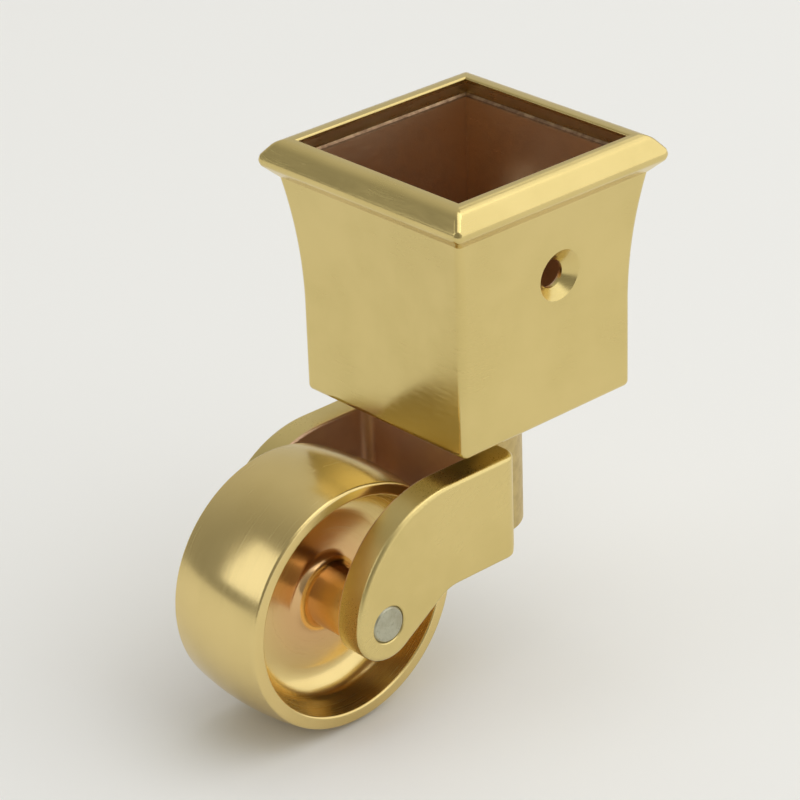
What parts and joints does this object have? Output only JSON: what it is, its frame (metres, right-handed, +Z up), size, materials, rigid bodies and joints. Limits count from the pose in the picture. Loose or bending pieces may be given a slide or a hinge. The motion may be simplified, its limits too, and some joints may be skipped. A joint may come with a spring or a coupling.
{
  "type": "cup castor",
  "caption": "Square brass cup castor: flared socket for a furniture leg, screwed through its side walls, over a swivelling horn that carries a dished brass wheel.",
  "frame": {"origin": "on the swivel axis, at the middle of the floor inside the cup, where the end of the leg rests", "axes": "+Z up along the leg, the horn trails towards -X, the wheel's axle runs along Y"},
  "size_m": [0.0586, 0.034, 0.065],
  "materials": {
    "brass": "cast brass, satin brushed, with soft polish on the wheel's tread",
    "steel": "plain dull steel"
  },
  "bodies": {
    "cup": {"cup": "brass", "swivel_pin": "steel", "thrust_washer": "steel"},
    "horn": {"horn": "brass", "axle_pin": "steel"},
    "wheel": {"wheel": "brass"}
  },
  "joints": [
    {"name": "swivel", "type": "hinge", "parent": "cup", "child": "horn", "pos_m": [0, 0, 0], "axis": [0, 0, 1], "continuous": true},
    {"name": "wheel_spin", "type": "hinge", "parent": "horn", "child": "wheel", "pos_m": [-0.0256, 0, -0.0198], "axis": [0, 1, 0], "continuous": true}
  ]
}
